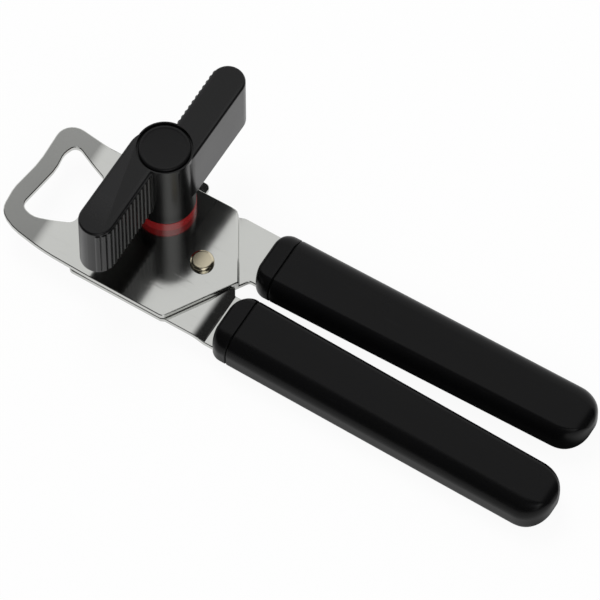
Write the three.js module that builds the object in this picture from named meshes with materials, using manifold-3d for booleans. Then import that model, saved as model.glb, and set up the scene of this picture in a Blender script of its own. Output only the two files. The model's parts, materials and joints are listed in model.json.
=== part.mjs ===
// Manual can opener: two steel head plates on one pivot, a large turning key with a geared
// feed wheel, a round cutter, a bottle opener at the tip and two plastic grips.
// Millimetres, Z up. X runs from the tip to the grips. The pivot stands at X = Y = 0 and
// the top face of the upper plate lies at Z = 0 until the whole part is set on its base.

import * as THREE from 'three';
import { mergeVertices } from 'three/addons/utils/BufferGeometryUtils.js';
import Module from 'manifold-3d';

const wasm = await Module();
wasm.setup();

// Clearances
const plateGap = 0.3; // between sheets that slide over each other
const stackGap = 0.2; // between turning pieces along an axle
const runGap = 0.2; // radial, a turning piece on its axle
const pressGap = 0.05; // radial, a piece fixed on another
const slotGap = 0.25; // around a tang in its grip
const seatGap = 0.1; // between a piece and the face it sits on

// Head plates
const sheet = 2;
const tipX = -67.6;
const headNearY = -24.25;
const headFarY = 22.95;
const tipBend = 10; // degrees, upwards
const tipBendX = -48.5;
const tipBendRadius = 23;
const foldAngle = 58.5; // degrees, both slanted ends of the upper plate
const foldX = 14.2; // where the two slanted ends meet at Y = 0
const farCornerRound = 4; // at the far end of the fold
const tangCornerRound = 2.5;
const tangDrop = 3; // far tang's top below the upper plate's top
const leverDrop = 3.8; // near tang's top below the upper plate's top
const webThick = 1.6;
const tangInner = 3.4;
const tangStep = 0.6; // the near tang is set in from the near edge
const shoulderX = 19.6;
const neckInner = 7;
const neckOuter = 20;
const neckEndX = 75;
const neckRound = 3;

// Bottle opener hole
const holeNearX = -44.2;
const holeTipX = -61.7;
const holeFarY = 15.3;
const holeNearY = -15;

// Lower plate
const leverLeftX = -37.7;
const openAngle = 30; // degrees, grips fully apart
const kidneyGap = 0.9; // between the bushing and the sides of its curved slot
const notchEnd = 0.4; // the lower plate stops this far short of the fold's end
const tabRightX = -13.3;
const tabFarY = 27.1;
const tabShoulder = 9; // from the cutter's axis to where the tab's far edge starts
const tabSlope = 0.2;
const stepStartX = -1.4; // where the near edge begins to step in to the tang
const leverShoulder = 12; // the left edge's top corner, nearer than the cutter's axis
const bossRadius = 5.7;
const leverBend = 20; // degrees, down towards the tang
const leverBendRadius = 10;
const foldEndX = 16.7;

// Pivot rivet
const rivetHead = 4.1;
const rivetRise = 1.8;
const rivetShank = 2.6;
const rivetTail = 3.9;
const rivetTailHeight = 1.2;
const rivetTailEdge = 0.5;
const rivetRound = 1.1; // edge of the domed head
const washerRadius = 5.5;
const washerThick = 0.8;

// Key
const keyX = -21.8;
const keyY = 12.5;
const keyTop = 38.3;
const hubRadius = 9.9;
const hubRimHeight = 2;
const rimEdge = 0.6;
const rimStep = 0.4; // height of the slope under the rim
const postTopRadius = 9.6;
const postFootRadius = 10.1;
const capRadius = 8.8;
const capThick = 1.4;
const capGroove = 0.55;
const capEdge = 0.4;
const ringRadius = 10.2;
const ringHeight = 4.2;
const wingBottom = 12.3;
const nearWing = { side: 1, offset: 11.2, width: 12.5, reach: 40.2, ribs: 14 };
const farWing = { side: -1, offset: 10.4, width: 11.9, reach: 38.3, ribs: 11 };
const wingBevel = 0.9;
const wingBlend = 30; // degrees past the wing where its smooth side meets the rim
const wingFlare = 0.3; // how much further in the smooth side lies at the hub
const ribPitch = 2.2;
const ribHeight = 0.35;
const ribRadius = 1.4;
const ribStart = 1.6; // from the hub's rim to the first rib
const ribSides = 14;

// Key shaft and feed train
const shaftRadius = 3.9;
const shaftFlat = 3; // half width across the two flats
const shaftTop = 30;
const threadRadius = 2.4;
const bushingRadius = 5.4;
const bushingFlange = 6.6;
const bushingFlangeHeight = 1;
const springThick = 0.7;
const springRise = 1.6;
const springInset = 0.4; // inside the bushing's flange
const gearThick = 1.8;
const gearTeeth = 12;
const gearToothOut = 0.5; // tooth tip beyond the pitch circle, short so that the gears part early
const gearToothIn = 1; // tooth root inside the pitch circle
const gearToothFoot = 0.66; // share of the pitch that a tooth takes at its root
const gearToothTip = 0.24;
const axleDistance = 14.8; // feed axle to cutter axle
const feedRadius = 6;
const feedThick = 2.2;
const feedTeeth = 24;
const feedToothDepth = 0.5;
const feedToothFoot = 0.9; // share of the pitch
const feedToothTip = 0.3;
const feedNutWidth = 8;
const feedNutThick = 1.5;

// Cutter
const cutterDirection = 122; // degrees, from the key axle to the cutter axle
const cutterRadius = 9.5;
const cutterThick = 1;
const cutterBevel = 2;
const cutterEdgeShare = 0.35; // height of the cutting edge as a share of the thickness
const studRadius = 3;
const studThread = 2;
const spacerRadius = 4.2;
const cutterNutWidth = 7;

// Grips
const gripFrontX = 24.4;
const farGripEndX = 141.1;
const nearGripEndX = 144.9;
const collarFrontX = 17.3;
const grooveWidth = 0.5;
const grooveDepth = 0.8;
const gripInnerFront = 2.1;
const gripInnerEnd = 4.7;
const gripOuterFront = 25;
const gripOuterEnd = 26.2;
const gripTop = 3;
const gripBottom = -11;
const gripInnerWide = 3.6; // oval edges of the inner side, above and below
const gripInnerTall = 6.9;
const gripTopRound = 6.2; // outer edge, above
const gripFootRound = 4; // outer edge, below
const gripEndRound = 10.2;
const gripEndEdge = 3.6;
const gripEndFoot = 7.5; // the end's lower edge, rounder than the upper one
const gripLip = 0.25; // eased edge at the groove
const collarRound = 4.5;
// The inner corner's curve, along the handle and across it
const farCollarCurve = { run: 4.8, deep: 5 };
const nearCollarCurve = { run: 6.1, deep: 9 };
const collarEdge = 1.5;
const collarLip = 0.2;

const rad = THREE.MathUtils.degToRad;
const cos = (degrees) => Math.cos(rad(degrees));
const sin = (degrees) => Math.sin(rad(degrees));

// ---- outlines -------------------------------------------------------------

function arc(x, y, radius, from, to, step = 12) {
  const count = Math.max(1, Math.ceil(Math.abs(to - from) / step));
  const points = [];
  for (let i = 0; i <= count; i += 1) {
    const angle = from + ((to - from) * i) / count;
    points.push([x + radius * cos(angle), y + radius * sin(angle)]);
  }
  return points;
}

function circle(x, y, radius, sides = 40) {
  return arc(x, y, radius, 0, 360 - 360 / sides, 360 / sides);
}

// Each corner is [x, y] or [x, y, radius]; a rounding is held to its two edges.
function roundCorners(corners, step = 15) {
  const count = corners.length;
  const points = [];
  corners.forEach(([x, y, radius = 0], i) => {
    if (radius === 0) {
      points.push([x, y]);
      return;
    }
    const corner = new THREE.Vector2(x, y);
    const before = new THREE.Vector2(...corners[(i + count - 1) % count].slice(0, 2)).sub(corner);
    const after = new THREE.Vector2(...corners[(i + 1) % count].slice(0, 2)).sub(corner);
    const room = 0.49 * Math.min(before.length(), after.length());
    before.normalize();
    after.normalize();
    const half = Math.acos(THREE.MathUtils.clamp(before.dot(after), -1, 1)) / 2;
    const reach = Math.min(radius / Math.tan(half), room);
    const held = reach * Math.tan(half);
    const middle = before.clone().add(after).setLength(held / Math.sin(half)).add(corner);
    const start = before.clone().multiplyScalar(reach).add(corner).sub(middle);
    const end = after.clone().multiplyScalar(reach).add(corner).sub(middle);
    const from = THREE.MathUtils.radToDeg(start.angle());
    let turn = THREE.MathUtils.radToDeg(end.angle()) - from;
    turn -= 360 * Math.round(turn / 360);
    points.push(...arc(middle.x, middle.y, held, from, from + turn, step));
  });
  return points;
}

function hexagon(width) {
  return circle(0, 0, width / 2 / cos(30), 6);
}

// A round bar with two flats, as an outline.
function flattedCircle(radius, flat) {
  const edge = THREE.MathUtils.radToDeg(Math.acos(flat / radius));
  return [...arc(0, 0, radius, edge, 180 - edge), ...arc(0, 0, radius, 180 + edge, 360 - edge)];
}

function toothedWheel(teeth, root, tip, rootShare, tipShare, phase) {
  const pitch = 360 / teeth;
  const points = [];
  for (let i = 0; i < teeth; i += 1) {
    const middle = phase + i * pitch;
    points.push([root * cos(middle - (pitch * rootShare) / 2), root * sin(middle - (pitch * rootShare) / 2)]);
    points.push([tip * cos(middle - (pitch * tipShare) / 2), tip * sin(middle - (pitch * tipShare) / 2)]);
    points.push([tip * cos(middle + (pitch * tipShare) / 2), tip * sin(middle + (pitch * tipShare) / 2)]);
    points.push([root * cos(middle + (pitch * rootShare) / 2), root * sin(middle + (pitch * rootShare) / 2)]);
  }
  return points;
}

// ---- solids ---------------------------------------------------------------

function solidOf(geometry) {
  geometry.deleteAttribute('normal');
  geometry.deleteAttribute('uv');
  const merged = mergeVertices(geometry, 1e-5);
  const vertProperties = new Float32Array(merged.attributes.position.array);
  const triVerts = new Uint32Array(merged.index.array);
  return new wasm.Manifold(new wasm.Mesh({ numProp: 3, vertProperties, triVerts }));
}

function geometryOf(solid) {
  const mesh = solid.getMesh();
  const geometry = new THREE.BufferGeometry();
  geometry.setAttribute('position', new THREE.BufferAttribute(mesh.vertProperties, 3));
  geometry.setIndex(new THREE.BufferAttribute(mesh.triVerts, 1));
  geometry.computeVertexNormals();
  return geometry;
}

function extrude(points, depth, bevel = 0) {
  const shape = new THREE.Shape(points.map(([x, y]) => new THREE.Vector2(x, y)));
  return new THREE.ExtrudeGeometry(shape, {
    depth: depth - 2 * bevel,
    bevelEnabled: bevel > 0,
    bevelThickness: bevel,
    bevelSize: bevel,
    bevelOffset: -bevel,
    bevelSegments: 2,
  }).translate(0, 0, bevel);
}

// A plan outline raised from one height to another.
function prism(points, bottom, top, bevel = 0) {
  return solidOf(extrude(points, top - bottom, bevel).translate(0, 0, bottom));
}

// A side profile in X and Z, as wide as the whole head along Y.
function sideProfile(points) {
  const width = 200;
  const turn = new THREE.Matrix4().makeBasis(
    new THREE.Vector3(1, 0, 0),
    new THREE.Vector3(0, 0, 1),
    new THREE.Vector3(0, -1, 0),
  );
  return solidOf(extrude(points, width).translate(0, 0, -width / 2).applyMatrix4(turn));
}

// A profile of [radius, height] points turned about Z.
function turned(profile, sides = 40) {
  const points = profile.map(([radius, height]) => new THREE.Vector2(radius, height));
  return solidOf(new THREE.LatheGeometry(points, sides).rotateX(Math.PI / 2));
}

function tube(inner, outer, bottom, top, sides = 40) {
  return turned([[inner, bottom], [outer, bottom], [outer, top], [inner, top], [inner, bottom]], sides);
}

function rod(radius, bottom, top, sides = 40) {
  return turned([[0, bottom], [radius, bottom], [radius, top], [0, top]], sides);
}

// ---- materials ------------------------------------------------------------

const polishedSteel = { color: 0xc6c7c2, roughness: 0.2, metalness: 1 };
const nickel = { color: 0xbeb4a5, roughness: 0.25, metalness: 1 };
const toolSteel = { color: 0x9a9b98, roughness: 0.35, metalness: 1 };
const brass = { color: 0xb89a55, roughness: 0.35, metalness: 1 };
const blackPlastic = { color: 0x1f1f20, roughness: 0.45, metalness: 0 };
const redPlastic = { color: 0x96272b, roughness: 0.4, metalness: 0 };

function piece(name, solid, finish) {
  const mesh = new THREE.Mesh(geometryOf(solid), new THREE.MeshStandardMaterial(finish));
  mesh.name = name;
  return mesh;
}

// ---- shared places --------------------------------------------------------

const keyDistance = Math.hypot(keyX, keyY);
const keyBearing = THREE.MathUtils.radToDeg(Math.atan2(keyY, keyX));
const cutterX = keyX + axleDistance * cos(cutterDirection);
const cutterY = keyY + axleDistance * sin(cutterDirection);

const nearTangOuter = -headNearY - tangStep;
const leverTop = -sheet - plateGap;
const leverBottom = leverTop - sheet;
const tangBottom = -tangDrop - sheet;
const gearTop = leverBottom - plateGap;
const gearBottom = gearTop - gearThick;
const feedTop = gearBottom - stackGap;
const feedBottom = feedTop - feedThick;
const cutterTop = feedBottom - stackGap;
const cutterBottom = cutterTop - cutterThick;

// The fold of the upper plate runs along a slanted line. (along, beyond) gives a point by
// its distance up that line from the corner at Y = 0 and its distance out past the line.
function foldPoint(along, beyond) {
  const x = foldX - along * cos(foldAngle) + beyond * sin(foldAngle);
  const y = along * sin(foldAngle) + beyond * cos(foldAngle);
  return [x, y];
}

const foldLean = 1 / Math.tan(rad(foldAngle)); // X gained per Y along the slanted edges
const farCornerX = foldX - headFarY * foldLean;
const foldDistance = foldX * sin(foldAngle); // from the pivot to the fold line
const foldFoot = 90 - foldAngle; // bearing of the fold's nearest point from the pivot

// ---- head plates ----------------------------------------------------------

// Corner points of a tang and its neck, from the inner edge round to the outer one.
function tangEnd(side, outer) {
  return [
    [shoulderX, side * tangInner],
    [shoulderX, side * neckInner],
    [neckEndX, side * neckInner, neckRound],
    [neckEndX, side * neckOuter, neckRound],
    [shoulderX, side * neckOuter],
    [shoulderX, side * outer],
  ];
}

function bottleHole() {
  const corners = [
    [holeNearX, holeNearY + 5.5, 3.5],
    [holeNearX, holeFarY - 5.5, 2.5],
    [holeTipX + 3.1, holeFarY + 0.3, 2.6],
    [holeTipX + 1.3, holeFarY - 5, 6],
    [holeTipX + 2.1, 4, 12],
    [holeTipX + 0.7, -6.5, 20],
    [holeTipX - 0.3, holeNearY + 1.4, 2.8],
    [holeTipX + 4.5, holeNearY - 0.2, 7],
  ];
  return prism(roundCorners(corners), -sheet, sheet * 4);
}

function upperOutline() {
  return roundCorners([
    [foldX + headNearY * foldLean, headNearY, 2],
    [foldX, 0],
    [farCornerX, headFarY, farCornerRound],
    [-17.5, headFarY - 0.15, 40],
    [-46, headFarY - 2.15, 40],
    [tipX + 1.3, headFarY - 1.4, 6.5],
    [tipX + 2, 3, 25],
    [tipX + 0.1, -10, 10],
    [tipX + 0.9, headNearY + 5, 6],
    [tipX + 7, headNearY + 1.9, 16],
    [-45, headNearY + 0.4, 40],
    [-29, headNearY, 40],
  ]);
}

function bentSheet() {
  const run = 25;
  const bend = (radius) => arc(tipBendX, tipBendRadius, radius, -90, -90 - tipBend, 2);
  const top = bend(tipBendRadius);
  const bottom = bend(tipBendRadius + sheet);
  const onward = ([x, z]) => [x - run * cos(tipBend), z + run * sin(tipBend)];
  return sideProfile([
    [foldX + 10, 0],
    ...top,
    onward(top.at(-1)),
    onward(bottom.at(-1)),
    ...bottom.reverse(),
    [foldX + 10, -sheet],
  ]);
}

function upperPlate() {
  const outline = upperOutline();
  const flat = prism(outline, -sheet, sheet * 6).intersect(bentSheet());
  const past = foldDistance; // longer than the fold on either side
  const strip = [
    foldPoint(-past, 0),
    foldPoint(3 * past, 0),
    foldPoint(3 * past, -webThick),
    foldPoint(-past, -webThick),
  ];
  const web = prism(outline, tangBottom, 0).intersect(prism(strip, tangBottom, 0));
  const inwards = webThick / sin(2 * foldAngle); // back along the slanted edge to the web's inner face
  const tang = prism(
    roundCorners([
      [foldX - inwards * cos(foldAngle), -inwards * sin(foldAngle)],
      [foldX + tangInner * foldLean, tangInner, 1.5],
      ...tangEnd(1, headFarY),
      [farCornerX + 2.6, headFarY, tangCornerRound],
      foldPoint((headFarY + webThick) / sin(foldAngle) - 2.5, -webThick),
    ]),
    tangBottom,
    -tangDrop,
  );
  return flat
    .add(web)
    .add(tang)
    .subtract(bottleHole())
    .subtract(rod(rivetShank + pressGap, -sheet * 2, sheet))
    .subtract(prism(circle(keyX, keyY, bushingRadius + pressGap), -sheet * 2, sheet));
}

function kidneySlot() {
  const half = bushingRadius + kidneyGap;
  const from = keyBearing;
  const to = keyBearing + openAngle;
  const near = [keyDistance * cos(from), keyDistance * sin(from)];
  const far = [keyDistance * cos(to), keyDistance * sin(to)];
  return prism(
    [
      ...arc(...near, half, from - 180, from),
      ...arc(0, 0, keyDistance + half, from, to, 6).slice(1, -1),
      ...arc(...far, half, to, to + 180),
      ...arc(0, 0, keyDistance - half, to, from, 6).slice(1, -1),
    ],
    leverBottom - sheet,
    0,
  );
}

function lowerPlate() {
  const clear = webThick + plateGap; // kept inside the upper plate's web
  const swing = foldDistance - clear - seatGap; // free radius past the web
  const start = foldFoot + openAngle;
  const runOut = (swing * cos(start) - tabRightX) / sin(start);
  const bossStart = 80;
  const bossEnd = 190;
  const notchLean = -1 / Math.tan(rad(2 * foldAngle)); // along the cut end of the web
  const outline = roundCorners([
    [leverLeftX, headNearY, 2],
    [stepStartX, headNearY, 1],
    [0, -nearTangOuter, 1],
    ...tangEnd(-1, nearTangOuter).reverse(),
    [foldX + tangInner * foldLean, -tangInner, 0.6],
    foldPoint(-notchEnd, 0),
    foldPoint(-notchEnd - clear * notchLean, -clear),
    ...arc(0, 0, swing, foldFoot, start, 6),
    [tabRightX, swing * sin(start) + runOut * cos(start)],
    [tabRightX, tabFarY, 1.8],
    [cutterX + tabShoulder, tabFarY + tabSlope, 3],
    ...arc(cutterX, cutterY, bossRadius, bossStart, bossEnd),
    [leverLeftX, cutterY - leverShoulder, 5],
  ]);
  const beyond = 10; // the profile's ends lie outside the outline
  const slopeDrop = leverTop + leverDrop - leverBendRadius * (1 - cos(leverBend));
  const bendX = foldEndX - slopeDrop / Math.tan(rad(leverBend)) - leverBendRadius * sin(leverBend);
  const bendZ = leverTop - leverBendRadius;
  const bend = (radius) => arc(bendX, bendZ, radius, 90, 90 - leverBend, 4);
  const profile = sideProfile([
    [leverLeftX - beyond, leverTop],
    [leverLeftX - beyond, leverBottom],
    ...bend(leverBendRadius - sheet),
    [foldEndX - sheet * Math.tan(rad(leverBend / 2)), -leverDrop - sheet],
    [neckEndX + beyond, -leverDrop - sheet],
    [neckEndX + beyond, -leverDrop],
    [foldEndX, -leverDrop],
    ...bend(leverBendRadius).reverse(),
  ]);
  return prism(outline, -leverDrop - sheet * 2, 0)
    .intersect(profile)
    .subtract(kidneySlot())
    .subtract(rod(rivetShank + runGap, leverBottom - sheet, 0))
    .subtract(prism(circle(cutterX, cutterY, studRadius + pressGap), leverBottom - sheet, 0));
}

// ---- pivot ----------------------------------------------------------------

const washerTop = leverBottom - stackGap;
const washerBottom = washerTop - washerThick;

function pivotRivet() {
  const tailTop = washerBottom - stackGap;
  const tailBottom = tailTop - rivetTailHeight;
  return turned([
    [0, tailBottom],
    [rivetTail - rivetTailEdge, tailBottom],
    [rivetTail, tailBottom + rivetTailEdge],
    [rivetTail, tailTop],
    [rivetShank, tailTop],
    [rivetShank, seatGap],
    [rivetHead, seatGap],
    ...arc(rivetHead - rivetRound, rivetRise - rivetRound, rivetRound, 0, 90, 30),
    [0, rivetRise],
  ]);
}

function pivotWasher() {
  return tube(rivetShank + runGap, washerRadius, washerBottom, washerTop);
}

// ---- key and feed train, drawn about the key's own axis ---------------------

const keyBottom = ringHeight + stackGap;

// A wing leaves the hub along Y. Its smooth side lies offset from the key's axis, its ribbed
// side one width further in, and its end is a half circle.
function wingOutline({ side, offset, width, reach }) {
  const outer = -side * offset;
  const inner = outer + side * width;
  const end = -side * reach;
  return roundCorners([
    [-side * hubRadius * cos(wingBlend), side * hubRadius * sin(wingBlend)],
    [outer + side * wingFlare, -side * 2, 8],
    [outer, end, width / 2],
    [inner, end, width / 2],
    [inner, 0],
  ]);
}

// Upright ribs along the ribbed side of a wing and on round its end.
function wingRibs({ side, offset, width, reach, ribs }) {
  const round = width / 2;
  const first = hubRadius + ribStart;
  const straight = reach - round - first;
  const arm = round + ribHeight - ribRadius;
  const rods = [];
  for (let i = 0; i < ribs; i += 1) {
    const run = i * ribPitch;
    const angle = Math.max(0, THREE.MathUtils.radToDeg((run - straight) / round));
    const x = side * (width - offset - round + arm * cos(angle));
    const y = -side * (first + Math.min(run, straight) + arm * sin(angle));
    rods.push(prism(circle(x, y, ribRadius, ribSides), wingBottom + wingBevel, keyTop - wingBevel));
  }
  return rods;
}

function keyBody() {
  const rimBottom = keyTop - hubRimHeight;
  let body = turned([
    [0, keyBottom],
    [postFootRadius, keyBottom],
    [postTopRadius, rimBottom - rimStep],
    [hubRadius, rimBottom],
    [hubRadius, keyTop - rimEdge],
    [hubRadius - rimEdge, keyTop],
    [0, keyTop],
  ], 48);
  for (const wing of [nearWing, farWing]) {
    body = body.add(prism(wingOutline(wing), wingBottom, keyTop, wingBevel));
    for (const rib of wingRibs(wing)) {
      body = body.add(rib);
    }
  }
  return body
    .subtract(rod(capRadius + capGroove, keyTop - capThick - seatGap, keyTop + 1, 48))
    .subtract(prism(flattedCircle(shaftRadius + pressGap, shaftFlat + pressGap), 0, shaftTop + 0.5));
}

function keyCap() {
  const bottom = keyTop - capThick;
  return turned([
    [0, bottom],
    [capRadius, bottom],
    [capRadius, keyTop - capEdge],
    [capRadius - capEdge, keyTop],
    [0, keyTop],
  ], 48);
}

function keyRing() {
  return tube(bushingFlange + runGap, ringRadius, stackGap, ringHeight, 48);
}

function springWasher() {
  const bottom = bushingFlangeHeight + seatGap + pressGap;
  const inner = shaftRadius + runGap;
  const outer = bushingFlange - springInset;
  return turned([
    [inner, bottom + springRise],
    [outer, bottom],
    [outer, bottom + springThick],
    [inner, bottom + springRise + springThick],
    [inner, bottom + springRise],
  ]);
}

function shaftBushing() {
  return turned([
    [shaftRadius + runGap, leverBottom],
    [bushingRadius, leverBottom],
    [bushingRadius, pressGap],
    [bushingFlange, pressGap],
    [bushingFlange, bushingFlangeHeight],
    [shaftRadius + runGap, bushingFlangeHeight],
    [shaftRadius + runGap, leverBottom],
  ]);
}

function keyShaft() {
  const roundBottom = gearTop + seatGap;
  const roundTop = keyBottom - seatGap;
  return rod(shaftRadius, roundBottom, roundTop)
    .add(prism(flattedCircle(shaftRadius, shaftFlat), roundTop, shaftTop))
    .add(prism(flattedCircle(shaftRadius, shaftFlat), feedBottom, roundBottom))
    .add(rod(threadRadius, feedBottom - feedNutThick - seatGap, feedBottom));
}

function gear(bore, phase) {
  const pitchRadius = axleDistance / 2;
  const root = pitchRadius - gearToothIn;
  const tip = pitchRadius + gearToothOut;
  const outline = toothedWheel(gearTeeth, root, tip, gearToothFoot, gearToothTip, phase);
  return prism(outline, gearBottom, gearTop).subtract(bore);
}

function shaftBore() {
  return prism(flattedCircle(shaftRadius + pressGap, shaftFlat + pressGap), feedBottom - 1, gearTop + 1);
}

function feedWheel() {
  const outline = toothedWheel(
    feedTeeth, feedRadius - feedToothDepth, feedRadius, feedToothFoot, feedToothTip, 0,
  );
  return prism(outline, feedBottom, feedTop).subtract(shaftBore());
}

function feedNut() {
  const top = feedBottom - seatGap;
  return prism(hexagon(feedNutWidth), top - feedNutThick, top).subtract(
    rod(threadRadius + pressGap, top - 2 * feedNutThick, top + 1),
  );
}

// ---- cutter, drawn about its own axis ---------------------------------------

function cutterStud() {
  const shoulder = cutterBottom - seatGap;
  return rod(studRadius, shoulder, leverTop).add(rod(studThread, gripBottom, shoulder));
}

function cutterGear() {
  const gap = cutterDirection + 180 + 180 / gearTeeth; // a gap faces the feed gear's tooth
  return gear(rod(studRadius + runGap, gearBottom - 1, gearTop + 1), gap);
}

function cutterSpacer() {
  return tube(studRadius + runGap, spacerRadius, cutterTop + seatGap, gearBottom - seatGap);
}

function cutterWheel() {
  const middle = cutterBottom + cutterThick * cutterEdgeShare;
  return turned([
    [studRadius + runGap, cutterBottom],
    [cutterRadius - cutterBevel, cutterBottom],
    [cutterRadius, middle],
    [cutterRadius - cutterBevel, cutterTop],
    [studRadius + runGap, cutterTop],
    [studRadius + runGap, cutterBottom],
  ], 48);
}

function cutterNut() {
  const top = cutterBottom - seatGap;
  return prism(hexagon(cutterNutWidth), gripBottom, top).subtract(
    rod(studThread + pressGap, gripBottom - 1, top + 1),
  );
}

// ---- grips ------------------------------------------------------------------

// The grips taper: the distance of a side from the middle plane, anywhere along X.
function taper(front, end, x) {
  return front + ((end - front) * (x - gripFrontX)) / (farGripEndX - gripFrontX);
}

// How far a rounding of the given radius draws a side in, at a distance from its start.
function drawIn(radius, distance) {
  if (distance >= radius) {
    return 0;
  }
  return radius - Math.sqrt(radius * radius - (radius - distance) * (radius - distance));
}

// A quarter of an oval about (y, z).
function oval(y, z, wide, tall, from, to, step) {
  return arc(0, 0, 1, from, to, step).map(([across, up]) => [y + wide * across, z + tall * up]);
}

function gripSection(side) {
  const inner = gripInnerFront + gripInnerWide;
  const foot = gripFootRound;
  const top = gripTopRound;
  const section = [
    ...oval(inner, gripBottom + gripInnerTall, gripInnerWide, gripInnerTall, 180, 270, 15),
    ...oval(gripOuterFront - foot, gripBottom + foot, foot, foot, 270, 360, 18),
    ...oval(gripOuterFront - top, gripTop - top, top, top, 0, 90, 15),
    ...oval(inner, gripTop - gripInnerTall, gripInnerWide, gripInnerTall, 90, 180, 15),
  ];
  return section.map(([y, z]) => new THREE.Vector2(side * y, z));
}

// A rounded bar along X. Every station gives x, how far the outer side is drawn in, and how
// far the top, the bottom and the inner side are.
function handleBar(side, stations) {
  const width = gripOuterFront - gripInnerFront;
  const height = gripTop - gripBottom;
  const shape = new THREE.Shape(gripSection(side));
  const steps = stations.length - 1;
  const geometry = new THREE.ExtrudeGeometry(shape, { depth: steps, steps, bevelEnabled: false });
  const position = geometry.attributes.position;
  for (let i = 0; i < position.count; i += 1) {
    const station = stations[Math.round(position.getZ(i))];
    const [x, sideIn, topIn, footIn = topIn, innerIn = sideIn] = station;
    const share = (Math.abs(position.getX(i)) - gripInnerFront) / width;
    const inner = taper(gripInnerFront, gripInnerEnd, x) + innerIn;
    const outer = taper(gripOuterFront, gripOuterEnd, x) - sideIn;
    const y = side * (inner + share * (outer - inner));
    const rise = (position.getY(i) - gripBottom) / height;
    const z = gripBottom + footIn + rise * (height - topIn - footIn);
    position.setXYZ(i, x, y, z);
  }
  return solidOf(geometry);
}

// The room that a tang takes inside a handle: a slot from one x to another between two sides.
function tangSlot(side, from, to, inner, outer, round) {
  const corners = [
    [from, side * (inner - slotGap)],
    [to + slotGap, side * (inner - slotGap), round],
    [to + slotGap, side * (outer + slotGap), round],
    [from, side * (outer + slotGap)],
  ];
  const top = side > 0 ? -tangDrop : -leverDrop;
  return prism(roundCorners(corners), top - sheet - slotGap, top + slotGap);
}

function neckSlot(side) {
  return tangSlot(side, collarFrontX - 1, neckEndX, neckInner, neckOuter, neckRound);
}

function grip(side, endX) {
  const endWidth = taper(gripOuterFront, gripOuterEnd, endX) - taper(gripInnerFront, gripInnerEnd, endX);
  const round = Math.min(gripEndRound, endWidth / 2 - seatGap);
  const stations = [[gripFrontX, gripLip, gripLip], [gripFrontX + gripLip, 0, 0]];
  const angles = [0, 15, 30, 45, 55, 65, 72, 78, 84, 90];
  for (const angle of angles) {
    const distance = round * (1 - sin(angle));
    const topIn = drawIn(gripEndEdge, distance);
    stations.push([endX - distance, drawIn(round, distance), topIn, drawIn(gripEndFoot, distance)]);
  }
  return handleBar(side, stations).subtract(neckSlot(side));
}

function collar(side, tangOuter, { run, deep }) {
  const backX = gripFrontX - grooveWidth;
  const stations = [];
  for (let angle = 90; angle >= 0; angle -= 15) {
    const distance = run * (1 - sin(angle));
    const innerIn = (drawIn(run, distance) * deep) / run;
    const faceIn = drawIn(collarEdge, distance);
    stations.push([collarFrontX + distance, drawIn(collarRound, distance), faceIn, faceIn, innerIn]);
  }
  stations.push([backX - collarLip, 0, 0]);
  stations.push([backX, collarLip, collarLip]);
  const lip = [[backX - 1, grooveDepth, grooveDepth], [gripFrontX - seatGap, grooveDepth, grooveDepth]];
  return handleBar(side, stations)
    .add(handleBar(side, lip))
    .subtract(neckSlot(side))
    .subtract(tangSlot(side, collarFrontX - 1, shoulderX, tangInner, tangOuter, 0));
}

// ---- assembly ---------------------------------------------------------------

const head = new THREE.Group();
head.add(
  piece('upper_plate', upperPlate(), polishedSteel),
  piece('lower_plate', lowerPlate(), polishedSteel),
  piece('pivot_rivet', pivotRivet(), nickel),
  piece('pivot_washer', pivotWasher(), nickel),
);

const key = new THREE.Group();
key.position.set(keyX, keyY, 0);
key.add(
  piece('key_body', keyBody(), blackPlastic),
  piece('key_cap', keyCap(), blackPlastic),
  piece('key_ring', keyRing(), redPlastic),
  piece('key_shaft', keyShaft(), toolSteel),
  piece('shaft_bushing', shaftBushing(), brass),
  piece('spring_washer', springWasher(), toolSteel),
  piece('feed_gear', gear(shaftBore(), cutterDirection), toolSteel),
  piece('feed_wheel', feedWheel(), toolSteel),
  piece('feed_nut', feedNut(), nickel),
);

const cutter = new THREE.Group();
cutter.position.set(cutterX, cutterY, 0);
cutter.add(
  piece('cutter_stud', cutterStud(), toolSteel),
  piece('cutter_gear', cutterGear(), toolSteel),
  piece('cutter_spacer', cutterSpacer(), nickel),
  piece('cutter_wheel', cutterWheel(), toolSteel),
  piece('cutter_nut', cutterNut(), nickel),
);

const grips = new THREE.Group();
grips.add(
  piece('far_grip', grip(1, farGripEndX), blackPlastic),
  piece('far_collar', collar(1, headFarY, farCollarCurve), blackPlastic),
  piece('near_grip', grip(-1, nearGripEndX), blackPlastic),
  piece('near_collar', collar(-1, nearTangOuter, nearCollarCurve), blackPlastic),
);

const opener = new THREE.Group();
opener.add(head, key, cutter, grips);

// Stand the opener on its base, centred over the origin.
const bounds = new THREE.Box3().setFromObject(opener);
const middle = bounds.getCenter(new THREE.Vector3());
opener.position.set(-middle.x, -middle.y, -bounds.min.z);

export default opener;
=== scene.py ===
import json
import math

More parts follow.
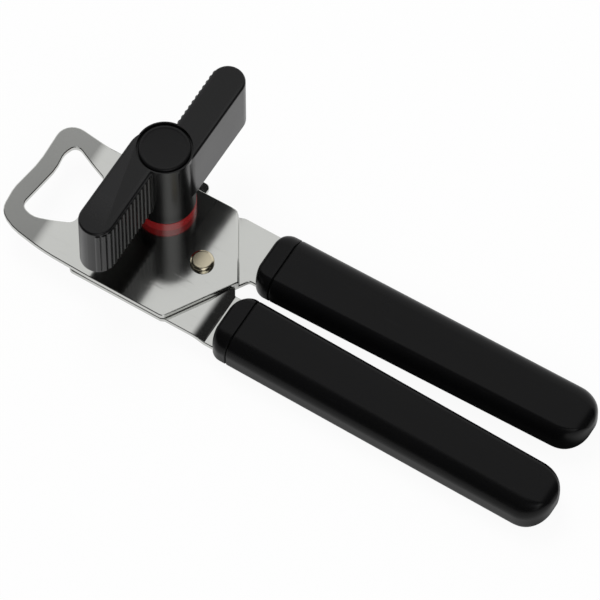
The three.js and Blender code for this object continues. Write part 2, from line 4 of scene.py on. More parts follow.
import bmesh
import bpy
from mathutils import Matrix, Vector


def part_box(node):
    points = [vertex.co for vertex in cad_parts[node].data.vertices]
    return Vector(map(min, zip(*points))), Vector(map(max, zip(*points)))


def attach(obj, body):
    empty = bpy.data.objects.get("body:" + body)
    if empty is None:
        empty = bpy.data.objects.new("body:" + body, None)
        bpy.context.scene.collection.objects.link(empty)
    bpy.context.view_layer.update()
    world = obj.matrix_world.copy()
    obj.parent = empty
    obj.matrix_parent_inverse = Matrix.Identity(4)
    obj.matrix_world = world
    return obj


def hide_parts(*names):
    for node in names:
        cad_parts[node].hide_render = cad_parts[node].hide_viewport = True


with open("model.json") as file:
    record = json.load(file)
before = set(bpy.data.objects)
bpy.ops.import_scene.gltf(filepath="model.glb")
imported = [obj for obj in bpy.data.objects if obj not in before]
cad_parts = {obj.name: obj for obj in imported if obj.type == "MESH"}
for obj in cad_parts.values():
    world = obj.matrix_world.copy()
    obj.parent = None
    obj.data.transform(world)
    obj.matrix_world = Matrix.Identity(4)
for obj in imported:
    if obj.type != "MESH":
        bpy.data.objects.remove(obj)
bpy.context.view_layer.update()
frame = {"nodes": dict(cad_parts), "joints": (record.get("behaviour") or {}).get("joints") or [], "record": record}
mm = 0.001
jointAt = {joint["name"]: Vector(joint["pos_m"]) for joint in frame["joints"]}
pivot = jointAt["lever_hinge"]  # on the upper plate's top face
keyAxis = jointAt["key_turn"]
bodies = frame["record"]["behaviour"]["bodies"]
bodyOf = {node: body for body, nodes in bodies.items() for node in nodes}
slotOf = {part["node"]: part["material_slot"] for part in frame["record"]["subparts"]}
print("loaded", len(frame["nodes"]), "nodes")


# shader building

class Wire:
    # a socket that can be used in sums: 1 - mask * 0.5 adds its Math nodes
    def __init__(self, nodes, socket):
        self.nodes = nodes
        self.socket = socket

    def math(self, operation, *values, clamp=False):
        settings = {"operation": operation, "use_clamp": clamp}
        return self.nodes.node("ShaderNodeMath", settings, dict(enumerate(values)))

    def __add__(self, other):
        return self.math("ADD", self, other)

    def __sub__(self, other):
        return self.math("SUBTRACT", self, other)

    def __rsub__(self, other):
        return self.math("SUBTRACT", other, self)

    def __mul__(self, other):
        return self.math("MULTIPLY", self, other)

    def __abs__(self):
        return self.math("ABSOLUTE", self)

    def clamped(self):
        return self.math("ADD", self, 0.0, clamp=True)

    def evened(self):
        # noise that rises and falls by the same amount about 0
        return self - 0.5

    def larger(self, other):
        return self.math("MAXIMUM", self, other)

    def sibling(self, name):
        # another output of the node that this socket is on
        return Wire(self.nodes, self.socket.node.outputs[name])

    __radd__ = __add__
    __rmul__ = __mul__


class Nodes:
    # the node tree of a material or a world
    def __init__(self, owner):
        owner.use_nodes = True
        self.tree = owner.node_tree
        self.tree.nodes.clear()

    def node(self, kind, settings=None, values=None, out=0):
        made = self.tree.nodes.new(kind)
        for key, value in (settings or {}).items():
            if key == "stops":
                self.setStops(made.color_ramp, value)
            else:
                setattr(made, key, value)
        for key, value in (values or {}).items():
            if isinstance(value, Wire):
                self.tree.links.new(value.socket, made.inputs[key])
            else:
                made.inputs[key].default_value = value
        return Wire(self, made.outputs[out]) if len(made.outputs) else made

    def setStops(self, ramp, stops):
        for element, (position, shade) in zip(ramp.elements, stops):
            element.position = position
            element.color = (shade, shade, shade, 1.0)

    def ramp(self, value, start, end):
        # 0 up to start and 1 from end on, straight between
        stops = ((start, 0.0), (end, 1.0))
        return self.node("ShaderNodeValToRGB", {"stops": stops}, {"Fac": value})

    def rise(self, value, start, end):
        # 0 up to start and 1 from end on, with a soft way between
        settings = {"interpolation_type": "SMOOTHSTEP"}
        values = {"Value": value, "From Min": start, "From Max": end}
        return self.node("ShaderNodeMapRange", settings, values)

    def along(self, ray, direction):
        # how nearly a ray runs in a direction: 1 when it does
        settings = {"operation": "DOT_PRODUCT"}
        return self.node("ShaderNodeVectorMath", settings, {0: ray, 1: direction}, out="Value")

    def split(self, vector):
        return self.node("ShaderNodeSeparateXYZ", None, {0: vector})

    def rayKinds(self):
        # rays from the camera, and rays that a polished or clear surface sends on
        seen = self.node("ShaderNodeLightPath", out="Is Camera Ray")
        return seen, seen.sibling("Is Glossy Ray").larger(seen.sibling("Is Transmission Ray"))

    def surface(self, shader, kind="ShaderNodeOutputMaterial"):
        self.node(kind, None, {"Surface": shader})


class Finish(Nodes):
    # a material: one Principled shader and what feeds it
    def __init__(self, name, constants):
        self.material = bpy.data.materials.new(name)
        super().__init__(self.material)
        shader = self.node("ShaderNodeBsdfPrincipled", None, constants)
        self.shader = shader.socket.node
        self.surface(shader)
        self.place = self.node("ShaderNodeTexCoord", out="Object")

    def pattern(self, detail, rough, scale=1.0, stretch=None, turn=0.0):
        # noise in the piece's own space, stretched and turned about Z where that is given
        place = self.place
        if stretch:
            values = {"Vector": place, "Scale": stretch, "Rotation": (0, 0, turn)}
            place = self.node("ShaderNodeMapping", None, values)
        values = {"Vector": place, "Scale": scale, "Detail": detail, "Roughness": rough}
        return self.node("ShaderNodeTexNoise", None, values)

    def mix(self, share, first, second):
        made = self.node("ShaderNodeMix", {"data_type": "RGBA"}, {"Factor": share}).socket.node
        sockets = [socket for socket in made.inputs if socket.type == "RGBA"]
        for socket, value in zip(sockets, (first, second)):
            if isinstance(value, Wire):
                self.tree.links.new(value.socket, socket)
            else:
                socket.default_value = (*value, 1.0)
        return Wire(self, [socket for socket in made.outputs if socket.type == "RGBA"][0])

    def feed(self, socket, wire):
        self.tree.links.new(wire.socket, self.shader.inputs[socket])

    def bump(self, height, strength, distance):
        values = {"Height": height, "Strength": strength, "Distance": distance}
        self.feed("Normal", self.node("ShaderNodeBump", None, values))


def shaded(tone, amount):
    return tuple(min(1.0, amount * channel) for channel in tone)


# metals: drawn grain, clouding and fine scratches

metalMarks = {
    "hair": {"detail": 4.0, "rough": 0.6, "stretch": (60, 2600, 2600)},
    "cloud": {"detail": 4.0, "rough": 0.55, "scale": 38.0},
    "smear": {"detail": 3.0, "rough": 0.5, "scale": 140.0, "stretch": (1, 2.2, 1), "turn": 0.6},
    "scratch": {"detail": 2.0, "rough": 0.4, "stretch": (90, 1400, 1400), "turn": 0.9},
    "scratchFrom": 0.66, "scratchFull": 0.72,
    "darkest": 0.94, "lightest": 1.05,  # clouding, as shares of the tone
    "cloudGloss": 0.05, "smearGloss": 0.03, "scratchGloss": 0.05,  # what each changes in the roughness
    "scratchDepth": 0.6, "strength": 0.12, "height": 0.02 * mm,
}
metals = {
    "polished_steel": {"name": "polishedSteel", "tone": (0.555, 0.56, 0.54), "gloss": 0.12,
                       "marks": 0.5},
    "tool_steel": {"name": "toolSteel", "tone": (0.4, 0.4, 0.39), "gloss": 0.3, "marks": 1.0,
                   "grainTurn": 0.8},
    "nickel": {"name": "nickelPlate", "tone": (0.6, 0.54, 0.4), "gloss": 0.2, "marks": 0.4},
    "bushing_brass": {"name": "bushingBrass", "tone": (0.5, 0.36, 0.14), "gloss": 0.3, "marks": 0.6},
}


def metalFinish(name, tone, gloss, marks, grainTurn=0.0):
    finish = Finish(name, {"Metallic": 1.0})
    look = metalMarks
    hair = finish.pattern(**look["hair"], turn=grainTurn)
    cloud = finish.pattern(**look["cloud"])
    smear = finish.pattern(**look["smear"])
    lines = finish.pattern(**look["scratch"])
    scratches = finish.ramp(lines, look["scratchFrom"], look["scratchFull"])
    darker, lighter = shaded(tone, look["darkest"]), shaded(tone, look["lightest"])
    finish.feed("Base Color", finish.mix(cloud, darker, lighter))
    uneven = cloud.evened() * look["cloudGloss"] + smear.evened() * look["smearGloss"]
    finish.feed("Roughness", gloss + uneven + scratches * look["scratchGloss"])
    relief = hair * marks - scratches * (look["scratchDepth"] * marks)
    finish.bump(relief, look["strength"], look["height"])
    return finish.material


# plastics: spark-eroded grain, scuffs from handling and rubbed edges

plasticMarks = {
    "grain": {"detail": 2.0, "rough": 0.6, "scale": 2600.0},
    "swell": {"detail": 3.0, "rough": 0.5, "scale": 55.0},
    "scuff": {"detail": 3.0, "rough": 0.5, "stretch": (70, 900, 500), "turn": 0.5},
    "scuffFrom": 0.64, "scuffFull": 0.74,
    "edgeFrom": 0.52, "edgeFull": 0.66,  # how sharply a surface turns outwards
    "darkest": 0.85, "lightest": 1.15,  # swells, as shares of the tone
    "edgeWear": 0.25, "scuffWear": 0.12,  # how far they show the worn tone
    "swellGloss": 0.08, "grainGloss": 0.06, "edgeGloss": 0.06,  # what each changes in the roughness
    "swellHeight": 0.3, "height": 0.04 * mm,
}
blackTone, blackWear = (0.004, 0.004, 0.0042), (0.02, 0.02, 0.021)
gripTone, gripWear = (0.003, 0.003, 0.0032), (0.014, 0.014, 0.015)
redTone, redWear = (0.36, 0.012, 0.014), (0.36, 0.05, 0.05)
plastics = {
    "key_plastic": {"name": "keyPlastic", "tone": blackTone, "wear": blackWear,
                    "gloss": 0.3, "grain": 0.12, "level": 0.27},
    "cap_plastic": {"name": "capPlastic", "tone": blackTone, "wear": blackWear,
                    "gloss": 0.3, "grain": 0.12, "level": 0.18},
    "grip_plastic": {"name": "gripPlastic", "tone": gripTone, "wear": gripWear,
                     "gloss": 0.3, "grain": 0.12, "level": 0.14},
    "red_plastic": {"name": "redPlastic", "tone": redTone, "wear": redWear,
                    "gloss": 0.28, "grain": 0.08, "level": 0.36},
}


def plasticFinish(name, tone, wear, gloss, grain, level):
    finish = Finish(name, {"Specular IOR Level": level})
    look = plasticMarks
    fine = finish.pattern(**look["grain"])
    swell = finish.pattern(**look["swell"])
    scuff = finish.ramp(finish.pattern(**look["scuff"]), look["scuffFrom"], look["scuffFull"])
    turning = finish.node("ShaderNodeNewGeometry", out="Pointiness")
    rubbed = finish.ramp(turning, look["edgeFrom"], look["edgeFull"])
    base = finish.mix(swell, shaded(tone, look["darkest"]), shaded(tone, look["lightest"]))
    worn = (rubbed * look["edgeWear"] + scuff * look["scuffWear"]).clamped()
    finish.feed("Base Color", finish.mix(worn, base, wear))
    uneven = swell.evened() * look["swellGloss"] + fine.evened() * look["grainGloss"]
    finish.feed("Roughness", gloss + uneven - rubbed * look["edgeGloss"])
    finish.bump(fine + swell * look["swellHeight"], grain, look["height"])
    return finish.material


looks = {slot: metalFinish(**values) for slot, values in metals.items()}
looks.update((slot, plasticFinish(**values)) for slot, values in plastics.items())
print("finishes", len(looks))


# modelling helpers

cornerSegments = 12
placeWithin = 0.001 * mm  # a corner is at a place if it is this close
heightWithin = 0.0001 * mm  # and an edge at a height
smoothAngles = {"lowerPlate": 15, "plain": 32, "key": 34, "round": 40}  # sharper edges stay edges


def activate(piece):
    bpy.ops.object.select_all(action="DESELECT")
    piece.select_set(True)
    bpy.context.view_layer.objects.active = piece


def startEdit(piece):
    activate(piece)
    bpy.ops.object.mode_set(mode="EDIT")
    bpy.ops.mesh.select_all(action="DESELECT")


def endEdit():
    bpy.ops.object.mode_set(mode="OBJECT")


def settled():
    # the new primitive: its place goes into its mesh, and it is opened for editing
    piece = bpy.context.object
    bpy.ops.object.transform_apply(location=True, rotation=True, scale=True)
    startEdit(piece)
    return piece


def pick(piece, kind, test):
    # selects the corners, edges or faces that pass a test, in edit mode
    modes = [kind == each for each in ("verts", "edges", "faces")]
    bpy.context.tool_settings.mesh_select_mode = modes
    bpy.ops.mesh.select_all(action="DESELECT")
    mesh = bmesh.from_edit_mesh(piece.data)
    mesh.normal_update()
    for element in getattr(mesh, kind):
        if test(element):
            element.select = True
    mesh.select_flush_mode()
    bmesh.update_edit_mesh(piece.data)


def facesUp(face):
    return face.normal.z > 0.9999


def atPlace(place):
    return lambda vertex: (vertex.co - place).length < placeWithin


def atHeight(*heights):
    def test(edge):
        return any(all(abs(vertex.co.z - z) < heightWithin for vertex in edge.verts) for z in heights)
    return test


def extrude(step):
    bpy.ops.mesh.extrude_region_move(TRANSFORM_OT_translate={"value": step})


def easePicked(offset, segments, affect="EDGES"):
    bpy.ops.mesh.bevel(offset=offset, segments=segments, affect=affect)


def closeUp(piece):
    bpy.ops.mesh.select_all(action="SELECT")
    bpy.ops.mesh.remove_doubles(threshold=placeWithin)
    bpy.ops.mesh.normals_make_consistent(inside=False)
    endEdit()
    return piece


def applyModifier(piece, kind, **settings):
    modifier = piece.modifiers.new(kind.lower(), kind)
    for key, value in settings.items():
        setattr(modifier, key, value)
    bpy.context.view_layer.objects.active = piece
    bpy.ops.object.modifier_apply(modifier=modifier.name)


def combine(piece, tool, operation):
    applyModifier(piece, "BOOLEAN", operation=operation, object=tool, solver="EXACT")
    bpy.data.objects.remove(tool)


def smooth(piece, kind="plain", crease=None):
    activate(piece)
    bpy.ops.object.shade_smooth_by_angle(angle=math.radians(smoothAngles[kind]))
    if crease:
        startEdit(piece)
        pick(piece, "edges", crease)
        bpy.ops.mesh.mark_sharp()
        endEdit()
    applyModifier(piece, "WEIGHTED_NORMAL", keep_sharp=True, weight=100)


def pieceName(node):
    first, *others = node.split("_")
    return first + "".join(word.title() for word in others)


def dress(piece, node):
    piece.name = pieceName(node)
    piece.data.name = pieceName(node)
    piece.data.materials.clear()
    piece.data.materials.append(looks[slotOf[node]])
    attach(piece, bodyOf[node])
    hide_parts(node)


# grips and collars: rounded bars drawn out through stations along X

barShape = {  # in mm
    "innerFront": 2.1, "innerEnd": 4.7,  # inner side, from the handles' middle line
    "outerFront": 25.0, "outerEnd": 26.2,  # outer side
    "topRound": 6.2, "footRound": 4.0,  # the section's outer corners
    "innerWide": 3.6, "innerTall": 6.9,  # and its oval inner ones
}
gripShape = {"endRound": 10.2, "endEdge": 3.6, "endFoot": 7.5, "lip": 0.25}
collarShape = {
    "round": 4.5, "edge": 1.5, "lip": 0.2, "grooveWidth": 0.5, "grooveDepth": 0.8,
    "seat": 0.1,  # reaches into the grip, so that no slit shows between them
}
collars = (  # the inner front corner curves over run along the handle and deep across it
    {"node": "far_collar", "side": 1, "run": 4.8, "deep": 5.0},
    {"node": "near_collar", "side": -1, "run": 5.9, "deep": 9.0},
)
lipTurn = 0.3  # where a lip's edge turns, as a share of its width
shortest = 0.01 * mm  # stations stand at least this far apart
arcSteps = 18
arcShares = [1 - math.sin(math.radians(90 * step / arcSteps)) for step in range(arcSteps + 1)]
farFront, farEnd = (corner.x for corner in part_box("far_grip"))


def sideAt(first, last, x):
    share = (x - farFront) / (farEnd - farFront)
    return (barShape[first] + (barShape[last] - barShape[first]) * share) * mm


def drawnIn(radius, distance):
    # how far a round of this radius stands in, at a distance from its end
    return radius - math.sqrt(max(0.0, radius * radius - max(0.0, radius - distance) ** 2))


def evenStation(x, inwards):
    return x, inwards, inwards, inwards, inwards


def drawnBar(node, side, stations):
    # each station: x, and how far the outer side, the top, the foot and the inner side stand in
    low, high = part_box(node)

    def section(x, outerIn=0.0, topIn=0.0, footIn=0.0, innerIn=0.0):
        inner = sideAt("innerFront", "innerEnd", x) + innerIn
        outer = sideAt("outerFront", "outerEnd", x) - outerIn
        across = side * (inner + outer) / 2 + pivot.y
        middle = Vector((x, across, (low.z + high.z + footIn - topIn) / 2))
        return middle, outer - inner, high.z - low.z - topIn - footIn

    x = stations[0][0]
    middle, wide, tall = section(x)
    innerWide, innerTall = barShape["innerWide"] * mm, barShape["innerTall"] * mm
    spare = innerTall - innerWide  # the inner side starts round, and is then pressed oval
    start = middle - Vector((0, side * spare / 2, 0))
    bpy.ops.mesh.primitive_plane_add(size=1, location=start, rotation=(0, math.pi / 2, 0))
    bar = settled()
    bpy.ops.mesh.select_all(action="SELECT")
    bpy.ops.transform.resize(value=(1, wide + spare, tall), center_override=start)
    corners = ((1, 1, "topRound"), (1, -1, "footRound"), (-1, 1, "innerTall"), (-1, -1, "innerTall"))
    for outward, upward, rounding in corners:
        step = Vector((0, side * outward * (wide + spare) / 2, upward * tall / 2))
        pick(bar, "verts", atPlace(start + step))
        easePicked(barShape[rounding] * mm, cornerSegments, "VERTICES")
    line = middle.y + side * (innerWide - wide / 2)
    pick(bar, "verts", lambda vertex: side * (vertex.co.y - line) < -heightWithin)
    bpy.ops.transform.resize(value=(1, innerWide / innerTall, 1), center_override=(x, line, middle.z))
    bpy.ops.mesh.select_all(action="SELECT")
    for station in stations:
        nextMiddle, nextWide, nextTall = section(*station)
        if station is not stations[0]:
            extrude(nextMiddle - middle)
        else:
            bpy.ops.transform.translate(value=nextMiddle - middle)
        growth = (1, nextWide / wide, nextTall / tall)
        bpy.ops.transform.resize(value=growth, center_override=nextMiddle)
        middle, wide, tall = nextMiddle, nextWide, nextTall
    return closeUp(bar)


def makeGrip(node, side):
    front, end = (corner.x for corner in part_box(node))
    lip, rounding = gripShape["lip"] * mm, gripShape["endRound"] * mm
    turn = lipTurn * lip
    stations = [evenStation(front, lip), evenStation(front + turn, turn), (front + lip,)]
    for share in arcShares:
        distance = rounding * share
        sideIn = drawnIn(rounding, distance)
        topIn, footIn = (drawnIn(gripShape[edge] * mm, distance) for edge in ("endEdge", "endFoot"))
        stations.append((end - distance, sideIn, topIn, footIn, sideIn))
    grip = drawnBar(node, side, stations)
    smooth(grip, "round")
    dress(grip, node)


def makeCollar(node, side, run, deep):
    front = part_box(node)[0].x
    back = farFront + collarShape["seat"] * mm
    shoulder = farFront - collarShape["grooveWidth"] * mm
    stations = []
    for share in reversed(arcShares):
        distance = run * mm * share
        outerIn = drawnIn(collarShape["round"] * mm, distance)
        faceIn = drawnIn(collarShape["edge"] * mm, distance)
        innerIn = drawnIn(run * mm, distance) * deep / run
        stations.append((front + distance, outerIn, faceIn, faceIn, innerIn))
    lip, depth = collarShape["lip"] * mm, collarShape["grooveDepth"] * mm
    if stations[-1][0] < shoulder - lip - shortest:
        stations.append((shoulder - lip,))
    for inwards in (lipTurn * lip, lip, depth):
        stations.append(evenStation(shoulder - max(0.0, lip - inwards), inwards))
    stations.append(evenStation(back, depth))
    collar = drawnBar(node, side, stations)
    smooth(collar, "round")
    dress(collar, node)


makeGrip("far_grip", 1)
makeGrip("near_grip", -1)
for collar in collars:
    makeCollar(**collar)
print("grips done")


# key: a post with two wings under one flat top

keyShape = {  # in mm
    "postTop": 9.6, "postFoot": 10.1, "footBand": 1.0,
    "taper": ((2.5, 0.1), (6.0, 0.3)),  # height over the foot, and how far the post stands in there
    "hubRadius": 9.9, "rimHeight": 2.0, "rimStep": 0.4, "rimTop": 0.3,
    "pocketDepth": 1.5, "groove": 0.65,  # the cap's pocket, and the groove round the cap
}
wingShape = {  # in mm, but for the angle and the two shares
    "bottom": 12.3, "edge": 1.1, "edgeSegments": 5,
    "rootAngle": 30.0, "rootShare": 0.98,  # where the broad side leaves the hub
    "flare": 0.3, "elbow": 2.0, "elbowRound": 8.0, "tipShare": 0.999,
}
ribShape = {"pitch": 2.2, "height": 0.5, "radius": 1.2, "start": 1.6, "edge": 0.3, "edgeSegments": 2}
wings = (
    {"side": 1, "offset": 11.2, "width": 12.5, "reach": 40.2, "ribs": 14},
    {"side": -1, "offset": 10.4, "width": 11.9, "reach": 38.3, "ribs": 11},
)
capShape = {  # in mm
    "radius": 8.8, "edge": 0.8, "edgeSegments": 6,
    "steps": ((0.5, 0.35, 0.12), (5.2, 0.25, 0.1)),  # flat ring, slope inside it, and its depth
}
ringShape = {
    "wall": 3.2, "edge": 0.15, "edgeSegments": 4,
    "lower": 0.25,  # closes the working gap over the plate to a hair
}
roundSides = 96
ribSides = 24
keyBottom, keyTop = (corner.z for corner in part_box("key_body"))
wingBottom = wingShape["bottom"] * mm + pivot.z


def onKeyAxis(z):
    return keyAxis.x, keyAxis.y, z


def keyPoint(x, y):
    return keyAxis.x + x * mm, keyAxis.y + y * mm


def flatOutline(corners, height):
    # a flat face with the given corners (x, y, rounding), in metres
    bpy.ops.mesh.primitive_circle_add(vertices=len(corners), radius=10 * mm, fill_type="NGON",
                                      location=(0, 0, height))
    piece = settled()
    places = [Vector((x, y, height)) for x, y, _ in corners]
    starts = [vertex.co.copy() for vertex in bmesh.from_edit_mesh(piece.data).verts]
    order = sorted(range(len(starts)), key=lambda i: math.atan2(starts[i].y, starts[i].x) % math.tau)
    turn = sum(a.x * b.y - a.y * b.x for a, b in zip(places, places[1:] + places[:1]))
    if turn < 0:
        places = places[::-1]
        corners = corners[::-1]
    for index, target in zip(order, places):
        pick(piece, "verts", lambda vertex: vertex.index == index)
        bpy.ops.transform.translate(value=target - starts[index])
    for i, (x, y, rounding) in enumerate(corners):
        if rounding:
            before = places[i - 1] - places[i]
            after = places[(i + 1) % len(places)] - places[i]
            pick(piece, "verts", atPlace(places[i]))
            easePicked(rounding / math.tan(before.angle(after) / 2), cornerSegments, "VERTICES")
    return piece


def keyPost():
    foot, band = keyShape["postFoot"], keyShape["footBand"] * mm
    bpy.ops.mesh.primitive_cylinder_add(vertices=roundSides, radius=foot * mm, depth=band,
                                        location=onKeyAxis(keyBottom + band / 2))
    post = settled()
    pick(post, "faces", facesUp)
    rimBottom = keyTop - keyShape["rimHeight"] * mm
    rings = [(keyBottom + height * mm, foot - inwards) for height, inwards in keyShape["taper"]]
    rings.append((rimBottom - keyShape["rimStep"] * mm, keyShape["postTop"]))
    for z in (rimBottom, keyTop - keyShape["rimTop"] * mm, keyTop):
        rings.append((z, keyShape["hubRadius"]))
    z, radius = keyBottom + band, foot
    for nextZ, nextRadius in rings:
        extrude((0, 0, nextZ - z))
        share = nextRadius / radius
        bpy.ops.transform.resize(value=(share, share, 1), center_override=onKeyAxis(nextZ))
        z, radius = nextZ, nextRadius
    return closeUp(post)


def keyWing(wing):
    side, width, reach = wing["side"], wing["width"], wing["reach"]
    root, rootAngle = keyShape["hubRadius"], math.radians(wingShape["rootAngle"])
    outer = -side * wing["offset"]
    inner = outer + side * width
    rootX = -side * root * math.cos(rootAngle) * wingShape["rootShare"]
    rootY = side * root * math.sin(rootAngle) * wingShape["rootShare"]
    elbowX = outer + side * wingShape["flare"]
    tipRound = width / 2 * wingShape["tipShare"] * mm
    corners = [
        (*keyPoint(rootX, rootY), 0),
        (*keyPoint(elbowX, -side * wingShape["elbow"]), wingShape["elbowRound"] * mm),
        (*keyPoint(outer, -side * reach), tipRound),
        (*keyPoint(inner, -side * reach), tipRound),
        (*keyPoint(inner, 0), 0),
    ]
    piece = flatOutline(corners, wingBottom)
    bpy.ops.mesh.select_all(action="SELECT")
    extrude((0, 0, keyTop - wingBottom))
    pick(piece, "edges", atHeight(keyTop, wingBottom))
    bpy.ops.mesh.bevel(offset=wingShape["edge"] * mm, segments=wingShape["edgeSegments"],
                       affect="EDGES", clamp_overlap=True)
    return closeUp(piece)


def keyRib(x, y):
    bottom = wingBottom + wingShape["edge"] * mm
    top = keyTop - wingShape["edge"] * mm
    middle = (*keyPoint(x, y), (top + bottom) / 2)
    bpy.ops.mesh.primitive_cylinder_add(vertices=ribSides, radius=ribShape["radius"] * mm,
                                        depth=top - bottom, location=middle)
    rib = settled()
    pick(rib, "edges", atHeight(top, bottom))
    easePicked(ribShape["edge"] * mm, ribShape["edgeSegments"])
    return closeUp(rib)


def ribPlaces(wing):
    # along the wing's ribbed side, and then round its tip
    side, width = wing["side"], wing["width"]
    half = width / 2
    first = keyShape["hubRadius"] + ribShape["start"]
    straight = wing["reach"] - half - first
    arm = half + ribShape["height"] - ribShape["radius"]
    for i in range(wing["ribs"]):
        run = i * ribShape["pitch"]
        angle = max(0.0, (run - straight) / half)
        across = width - wing["offset"] - half + arm * math.cos(angle)
        out = first + min(run, straight) + arm * math.sin(angle)
        yield side * across, -side * out


def makeKey():
    key = keyPost()
    for wing in wings:
        combine(key, keyWing(wing), "UNION")
    for wing in wings:
        for x, y in ribPlaces(wing):
            combine(key, keyRib(x, y), "UNION")
    radius = (capShape["radius"] + keyShape["groove"]) * mm
    depth = keyShape["pocketDepth"] * mm
    bpy.ops.mesh.primitive_cylinder_add(vertices=roundSides, radius=radius, depth=2 * depth,
                                        location=onKeyAxis(keyTop))
    combine(key, closeUp(settled()), "DIFFERENCE")
    smooth(key, "key")
    dress(key, "key_body")


def makeCap():
    low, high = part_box("key_cap")
    bpy.ops.mesh.primitive_cylinder_add(vertices=roundSides, radius=capShape["radius"] * mm,
                                        depth=high.z - low.z, location=onKeyAxis((low.z + high.z) / 2))
    cap = settled()
    pick(cap, "edges", atHeight(high.z))
    easePicked(capShape["edge"] * mm, capShape["edgeSegments"])
    pick(cap, "faces", facesUp)
    for flat, slope, depth in capShape["steps"]:
        bpy.ops.mesh.inset(thickness=flat * mm)
        bpy.ops.mesh.inset(thickness=slope * mm)
        bpy.ops.transform.translate(value=(0, 0, -depth * mm))
    closeUp(cap)
    smooth(cap, "round")
    dress(cap, "key_cap")


def makeRing():
    low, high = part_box("key_ring")
    low.z -= ringShape["lower"] * mm
    bpy.ops.mesh.primitive_cylinder_add(vertices=roundSides, radius=(high.x - low.x) / 2,
                                        depth=high.z - low.z, end_fill_type="NOTHING",
                                        location=onKeyAxis((low.z + high.z) / 2))
    ring = closeUp(settled())
    applyModifier(ring, "SOLIDIFY", thickness=ringShape["wall"] * mm, offset=-1)
    startEdit(ring)
    pick(ring, "edges", atHeight(high.z))
    easePicked(ringShape["edge"] * mm, ringShape["edgeSegments"])
    endEdit()
    smooth(ring, "round")
    dress(ring, "key_ring")


makeKey()
makeCap()
makeRing()
print("key done")


# plates and small pieces: merged copies of the solids with eased edges

plateEdges = {"upper": 0.36, "lower": 0.3, "segments": 4}  # in mm
foldShape = {"facing": Vector((0.8526, 0.5225, 0)), "match": 0.99, "round": 1.2, "segments": 8}
tangBend = {  # drawn nearer to the pivot; places are measured from the pivot, in mm
    "from": 10.0, "to": 16.8, "near": 2.0, "shift": -1.4, "creaseLength": 15.0, "creaseMargin": 0.2,
}
smallEdges = {  # how wide their edges are eased, in mm
    "pivot_rivet": 0.0, "pivot_washer": 0.15, "key_shaft": 0.1, "shaft_bushing": 0.12,
    "spring_washer": 0.1, "feed_gear": 0.12, "feed_wheel": 0.06, "feed_nut": 0.2,
    "cutter_stud": 0.12, "cutter_gear": 0.12, "cutter_spacer": 0.12, "cutter_wheel": 0.0,
    "cutter_nut": 0.2,
}
smallSmooth = {"pivot_rivet": "round"}
mergeWithin = 0.002 * mm
flatWithin = 0.5  # degrees between faces that are one face
easeFrom = 38  # degrees at which an edge is eased


def merged(node):
    # a copy of a solid, its loose triangles joined into whole faces, opened for editing
    piece = bpy.data.objects.new(pieceName(node), frame["nodes"][node].data.copy())
    bpy.context.scene.collection.objects.link(piece)
    startEdit(piece)
    bpy.ops.mesh.select_all(action="SELECT")
    bpy.ops.mesh.remove_doubles(threshold=mergeWithin)
    bpy.ops.mesh.dissolve_limited(angle_limit=math.radians(flatWithin))
    return piece


def easeEdges(piece, width, segments=2, clamp=True):
    applyModifier(piece, "BEVEL", width=width * mm, segments=segments, limit_method="ANGLE",
                  angle_limit=math.radians(easeFrom), use_clamp_overlap=clamp)


def onFold(edge):
    facing, match = foldShape["facing"], foldShape["match"]
    besideFold = any(face.normal.dot(facing) > match for face in edge.link_faces)
    return besideFold and atHeight(pivot.z)(edge)


def inBend(vertex):
    along, across = vertex.co.x - pivot.x, vertex.co.y - pivot.y
    bend = tangBend
    return bend["from"] * mm < along < bend["to"] * mm and across < bend["near"] * mm


def onCrease(edge):
    # the line across the tang where it turns level again
    a, b = (vertex.co for vertex in edge.verts)
    start = pivot.x + (tangBend["to"] + tangBend["shift"] - tangBend["creaseMargin"]) * mm
    square = abs(a.z - b.z) < shortest and abs(a.x - b.x) < shortest
    return square and a.x > start and (a - b).length > tangBend["creaseLength"] * mm


def makeUpperPlate():
    plate = merged("upper_plate")
    pick(plate, "edges", onFold)
    easePicked(foldShape["round"] * mm, foldShape["segments"])
    endEdit()
    easeEdges(plate, plateEdges["upper"], plateEdges["segments"], clamp=False)
    smooth(plate)
    dress(plate, "upper_plate")


def makeLowerPlate():
    plate = merged("lower_plate")
    pick(plate, "verts", inBend)
    bpy.ops.transform.translate(value=(tangBend["shift"] * mm, 0, 0))
    endEdit()
    easeEdges(plate, plateEdges["lower"], plateEdges["segments"], clamp=False)
    smooth(plate, "lowerPlate", onCrease)
    dress(plate, "lower_plate")


def makeSmallPiece(node, edge):
    piece = merged(node)
    endEdit()
    if edge:
        easeEdges(piece, edge)
    smooth(piece, smallSmooth.get(node, "plain"))
    dress(piece, node)


makeUpperPlate()
makeLowerPlate()
for node, edge in smallEdges.items():
    makeSmallPiece(node, edge)
print("plates and small pieces done")


# floor, light and camera

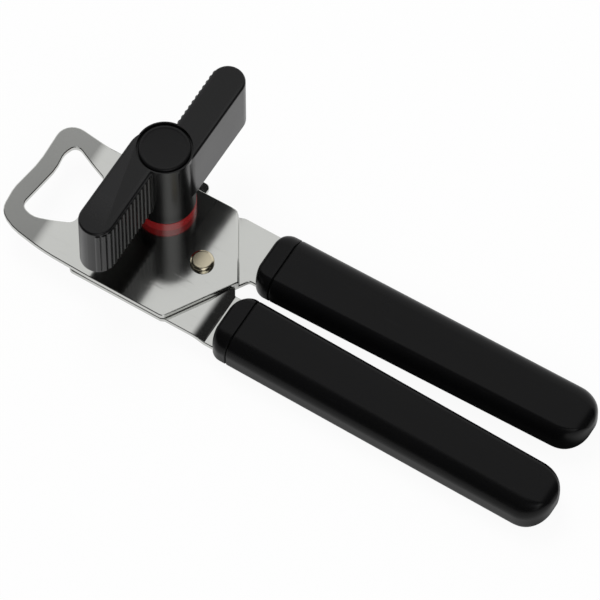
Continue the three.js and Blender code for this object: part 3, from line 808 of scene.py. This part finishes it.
floorLook = {
    "size": 12.0, "tone": 0.5, "seenTone": 0.9, "seenGlow": 0.93, "mirroredGlow": 0.85,
    "inset": 6 * mm, "fade": 10 * mm, "paintedShadeDepth": 0.9,  # the shade painted onto the floor under the grips
}
roomLook = {
    "ambient": 0.55,
    "front": (0.521, -0.854, 0.0), "dimFrom": -0.46, "dimTo": -0.2, "dim": 0.98,
    "over": (0.386, -0.267, 0.883), "overFrom": 0.935, "overFull": 0.99, "overGlow": 1.4,
    "across": (0.72, 0.69, 0.0), "columnWidth": (0.12, 0.25), "columnFront": (0.4, 0.5),
    "columnFoot": (0.1, 0.3),
}
lamps = (
    {"name": "mainLamp", "at": (-0.5, 0.35, 1.1), "size": 0.7, "power": 6.0},
    {"name": "fillLamp", "at": (0.8, -0.5, 0.9), "size": 0.9, "power": 3.0},
)
cameraView = {
    "at": (0.6683, -1.1077, 2.4367), "along": (-0.2446, 0.4007, -0.8829),
    "lens": 498.96, "sensor": 36.0, "reach": 20.0,
}
white = (1, 1, 1, 1)


def aimed(direction):
    return Vector(direction).to_track_quat("-Z", "Y").to_euler()


def paintedGripShade(nodes):
    # painted shade: 1 where the grips' shade is painted onto the floor by place, and 0 elsewhere
    low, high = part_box("near_grip")[0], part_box("far_grip")[1]
    inset, fade = floorLook["inset"], floorLook["fade"]
    place = nodes.split(nodes.node("ShaderNodeTexCoord", out="Object"))
    across = place.sibling("Y")
    start = nodes.rise(place, low.x - fade, low.x)
    near = nodes.rise(across, low.y + inset - fade, low.y + inset)
    far = 1 - nodes.rise(across, high.y - fade, high.y)
    end = 1 - nodes.rise(place, high.x, high.x + fade)
    return start * near * far * end


def studioFloor():
    # white to the camera but for the shadow, and bright where polished surfaces mirror it, but for a shade painted
    # under the grips
    look = floorLook
    bpy.ops.mesh.primitive_plane_add(size=look["size"], location=(0, 0, 0))
    floor = bpy.context.object
    floor.name = "floor"
    material = bpy.data.materials.new("paleFloor")
    nodes = Nodes(material)
    seen, mirrored = nodes.rayKinds()
    shade = paintedGripShade(nodes)
    tone = look["tone"] + seen * (look["seenTone"] - look["tone"])
    # painted shade: where polished surfaces mirror the floor, it is darkened under the grips and loses its glow
    # there
    tone = tone - mirrored * shade * (look["paintedShadeDepth"] * look["tone"])
    share = seen * look["seenGlow"] + mirrored * (1 - shade) * look["mirroredGlow"]
    cloth = nodes.node("ShaderNodeBsdfDiffuse", None, {"Color": tone})
    glow = nodes.node("ShaderNodeEmission", None, {"Color": white})
    nodes.surface(nodes.node("ShaderNodeMixShader", None, {0: share, 1: cloth, 2: glow}))
    floor.data.materials.append(material)


def studioRoom():
    # an even room; what polished surfaces mirror is white behind the object and dim towards
    # the front, but for one soft light over the camera and a narrow column of light below it
    look = roomLook
    world = bpy.data.worlds.new("studio")
    bpy.context.scene.world = world
    nodes = Nodes(world)
    seen, mirrored = nodes.rayKinds()
    ray = nodes.node("ShaderNodeTexCoord", out="Generated")
    front = nodes.along(ray, look["front"])
    bright = 1 - nodes.rise(front, look["dimFrom"], look["dimTo"]) * look["dim"]
    over = nodes.rise(nodes.along(ray, look["over"]), look["overFrom"], look["overFull"])
    bright = bright + over * look["overGlow"]
    column = 1 - nodes.rise(abs(nodes.along(ray, look["across"])), *look["columnWidth"])
    column = column * nodes.rise(front, *look["columnFront"])
    bright = bright + column * nodes.rise(nodes.split(ray).sibling("Z"), *look["columnFoot"])
    strength = seen + mirrored * bright + (1 - seen - mirrored) * look["ambient"]
    light = nodes.node("ShaderNodeBackground", None, {"Color": white, "Strength": strength})
    nodes.surface(light, "ShaderNodeOutputWorld")


def softLamp(name, at, size, power):
    data = bpy.data.lights.new(name, "AREA")
    data.shape = "DISK"
    data.size = size
    data.energy = power
    lamp = bpy.data.objects.new(name, data)
    lamp.location = at
    lamp.rotation_euler = aimed(-Vector(at))
    lamp.visible_glossy = False
    bpy.context.scene.collection.objects.link(lamp)


def placeCamera():
    camera = bpy.data.objects.new("camera", bpy.data.cameras.new("camera"))
    camera.data.lens = cameraView["lens"]
    camera.data.sensor_width = cameraView["sensor"]
    camera.data.clip_end = cameraView["reach"]
    camera.location = cameraView["at"]
    camera.rotation_euler = aimed(cameraView["along"])
    bpy.context.scene.collection.objects.link(camera)
    bpy.context.scene.camera = camera


studioFloor()
studioRoom()
for lamp in lamps:
    softLamp(**lamp)
placeCamera()
bpy.context.scene.view_settings.view_transform = "Standard"
print("stage set")
